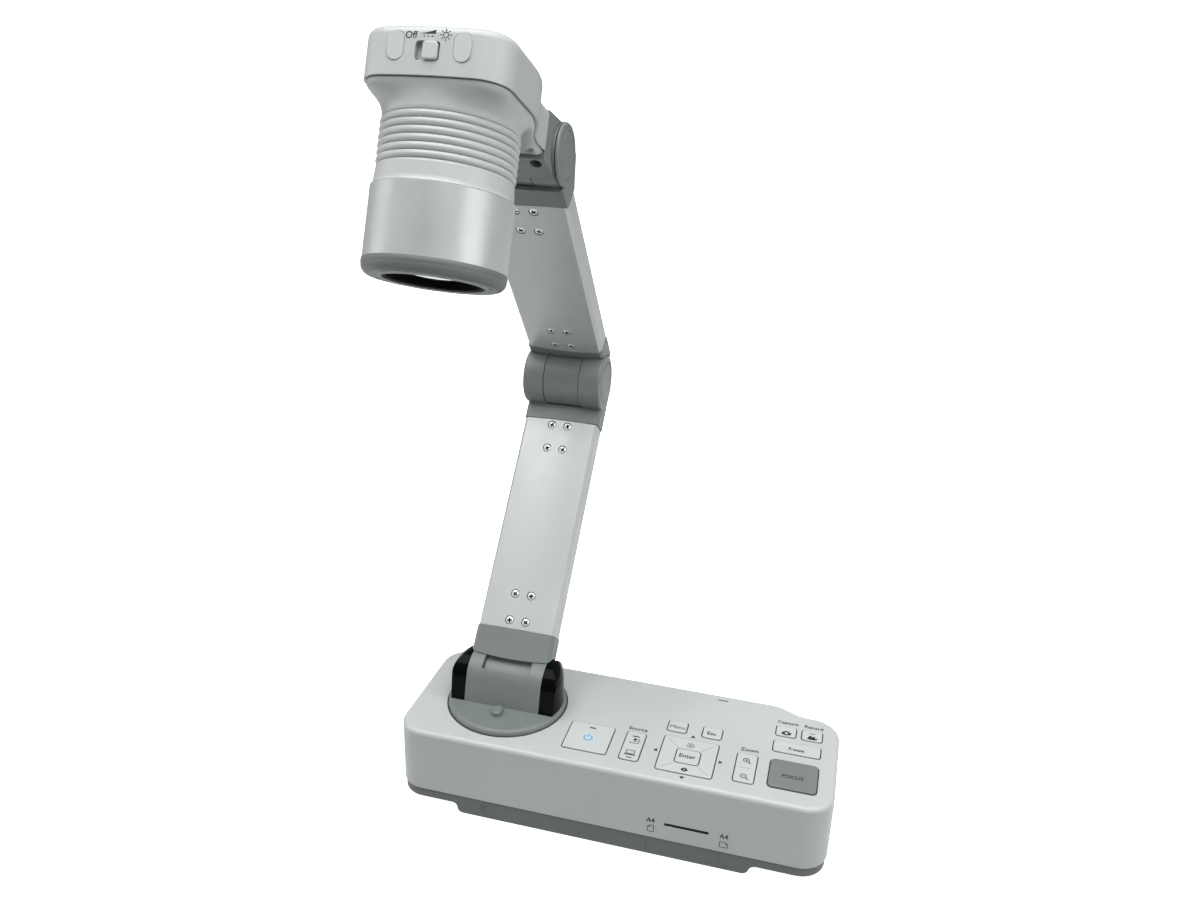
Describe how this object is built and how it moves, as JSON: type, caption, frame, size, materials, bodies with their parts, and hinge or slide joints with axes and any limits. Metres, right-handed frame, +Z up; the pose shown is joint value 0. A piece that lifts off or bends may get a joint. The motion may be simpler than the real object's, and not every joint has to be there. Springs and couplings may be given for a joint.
{
  "type": "document camera",
  "caption": "Desktop document camera: long low base with a control panel, turntable, two folding arms joined by an elbow hinge, and a tilting head with a downward-facing barrel lens.",
  "frame": {"origin": "on the desk plane, under the axis of the turntable", "axes": "+X along the base towards the control keys, +Y from the user's side to the rear, +Z up"},
  "size_m": [0.2694, 0.2744, 0.4614],
  "materials": {
    "white_shell": "fine matt texture",
    "cover_grey": "fine matt texture, green-grey",
    "hinge_grey": "satin paint, green-grey",
    "arm_paint": "satin light grey paint",
    "sleeve_paint": "satin silver-grey paint",
    "gloss_black": "polished",
    "matt_black": "matt",
    "rubber": "matt",
    "screw_steel": "bright zinc",
    "machined_steel": "turned",
    "bush_brass": "turned",
    "ballast_iron": "as cast",
    "circuit_board": "green lacquer",
    "switch_black": "matt",
    "key_white": "fine matt texture with printed marks",
    "key_grey": "fine matt texture",
    "socket_metal": "nickel plated",
    "optic_glass": "polished and coated",
    "lamp_clear": "clear"
  },
  "bodies": {
    "base": {"base_top_case": "white_shell", "base_bottom_cover": "cover_grey", "rubber_feet": "rubber", "case_screws": "screw_steel", "ballast_plate": "ballast_iron", "main_board": "circuit_board", "memory_card_socket": "socket_metal", "key_board": "circuit_board", "key_board_screws": "screw_steel", "key_switches": "switch_black", "power_socket": "matt_black", "digital_video_socket": "socket_metal", "video_sockets": "socket_metal", "usb_socket": "socket_metal", "swivel_bush": "bush_brass"},
    "turntable": {"turntable_disc": "hinge_grey", "swivel_nut": "machined_steel", "hinge_bracket": "hinge_grey", "black_cheeks": "gloss_black", "base_hinge_pin": "machined_steel", "base_hinge_washers": "machined_steel"},
    "lower_arm": {"lower_arm_channel": "arm_paint", "lower_arm_back_cover": "cover_grey", "lower_arm_foot": "hinge_grey", "lower_arm_fork": "hinge_grey", "lower_arm_screws": "screw_steel", "elbow_pin": "machined_steel", "elbow_washers": "machined_steel"},
    "upper_arm": {"upper_arm_channel": "arm_paint", "upper_arm_back_cover": "cover_grey", "upper_arm_foot": "hinge_grey", "upper_arm_fork": "hinge_grey", "upper_arm_screws": "screw_steel", "head_hinge_pin": "machined_steel", "head_hinge_washers": "machined_steel"},
    "head": {"head_bracket": "hinge_grey", "head_top_cap": "white_shell", "oval_pads": "key_white", "head_housing": "white_shell", "barrel_sleeve": "sleeve_paint", "bezel_ring": "cover_grey", "lens_hood": "matt_black", "front_glass": "optic_glass", "lamp_lens": "lamp_clear", "lamp_board": "circuit_board", "zoom_lens": "matt_black", "sensor_board": "circuit_board", "switch_body": "switch_black"},
    "switch_knob": {"lamp_switch_knob": "key_white"},
    "power_key": {"power_key": "key_white"},
    "enter_key": {"enter_key": "key_white"},
    "menu_key": {"menu_key": "key_white"},
    "escape_key": {"escape_key": "key_white"},
    "capture_key": {"capture_key": "key_white"},
    "record_key": {"record_key": "key_white"},
    "freeze_key": {"freeze_key": "key_white"},
    "focus_key": {"focus_key": "key_grey"},
    "source_key": {"source_key": "key_white"},
    "zoom_key": {"zoom_key": "key_white"},
    "navigation_pad": {"navigation_pad": "key_white"}
  },
  "joints": [
    {"name": "turntable_swivel", "type": "hinge", "parent": "base", "child": "turntable", "pos_m": [0, 0, 0.0573], "axis": [0, 0, -1], "range_deg": [-90, 90]},
    {"name": "lower_arm_tilt", "type": "hinge", "parent": "turntable", "child": "lower_arm", "pos_m": [0, 0.005, 0.0718], "axis": [1, 0, 0], "range_deg": [-48, 42]},
    {"name": "elbow", "type": "hinge", "parent": "lower_arm", "child": "upper_arm", "pos_m": [0, 0.1237, 0.2398], "axis": [1, 0, 0], "range_deg": [-79.5, 70]},
    {"name": "head_tilt", "type": "hinge", "parent": "upper_arm", "child": "head", "pos_m": [0, 0.0185, 0.4003], "axis": [-1, 0, 0], "range_deg": [-35, 90]},
    {"name": "lamp_switch_slide", "type": "slide", "parent": "head", "child": "switch_knob", "axis": [1, 0, 0], "range_m": [-0.0036, 0]},
    {"name": "power_key_press", "type": "slide", "parent": "base", "child": "power_key", "axis": [0, 0, -1], "range_m": [0, 0.0006], "stiffness_N_per_m": 600, "springref_m": -0.001},
    {"name": "enter_key_press", "type": "slide", "parent": "base", "child": "enter_key", "axis": [0, 0, -1], "range_m": [0, 0.0006], "stiffness_N_per_m": 600, "springref_m": -0.001},
    {"name": "menu_key_press", "type": "slide", "parent": "base", "child": "menu_key", "axis": [0, 0, -1], "range_m": [0, 0.0006], "stiffness_N_per_m": 600, "springref_m": -0.001},
    {"name": "escape_key_press", "type": "slide", "parent": "base", "child": "escape_key", "axis": [0, 0, -1], "range_m": [0, 0.0006], "stiffness_N_per_m": 600, "springref_m": -0.001},
    {"name": "capture_key_press", "type": "slide", "parent": "base", "child": "capture_key", "axis": [0, 0, -1], "range_m": [0, 0.0006], "stiffness_N_per_m": 600, "springref_m": -0.001},
    {"name": "record_key_press", "type": "slide", "parent": "base", "child": "record_key", "axis": [0, 0, -1], "range_m": [0, 0.0006], "stiffness_N_per_m": 600, "springref_m": -0.001},
    {"name": "freeze_key_press", "type": "slide", "parent": "base", "child": "freeze_key", "axis": [0, 0, -1], "range_m": [0, 0.0006], "stiffness_N_per_m": 600, "springref_m": -0.001},
    {"name": "focus_key_press", "type": "slide", "parent": "base", "child": "focus_key", "axis": [0, 0, -1], "range_m": [0, 0.0006], "stiffness_N_per_m": 600, "springref_m": -0.001},
    {"name": "source_key_tilt", "type": "hinge", "parent": "base", "child": "source_key", "pos_m": [0.0887, -0.0223, 0.0535], "axis": [1, 0, 0], "range_deg": [-1.8, 1.8], "stiffness_Nm_per_rad": 1},
    {"name": "zoom_key_tilt", "type": "hinge", "parent": "base", "child": "zoom_key", "pos_m": [0.1579, -0.0224, 0.0535], "axis": [1, 0, 0], "range_deg": [-1.8, 1.8], "stiffness_Nm_per_rad": 1},
    {"name": "navigation_pad_tilt", "type": "hinge", "parent": "base", "child": "navigation_pad", "pos_m": [0.1228, -0.0221, 0.0535], "axis": [1, 0, 0], "range_deg": [-1.8, 1.8], "stiffness_Nm_per_rad": 1}
  ]
}
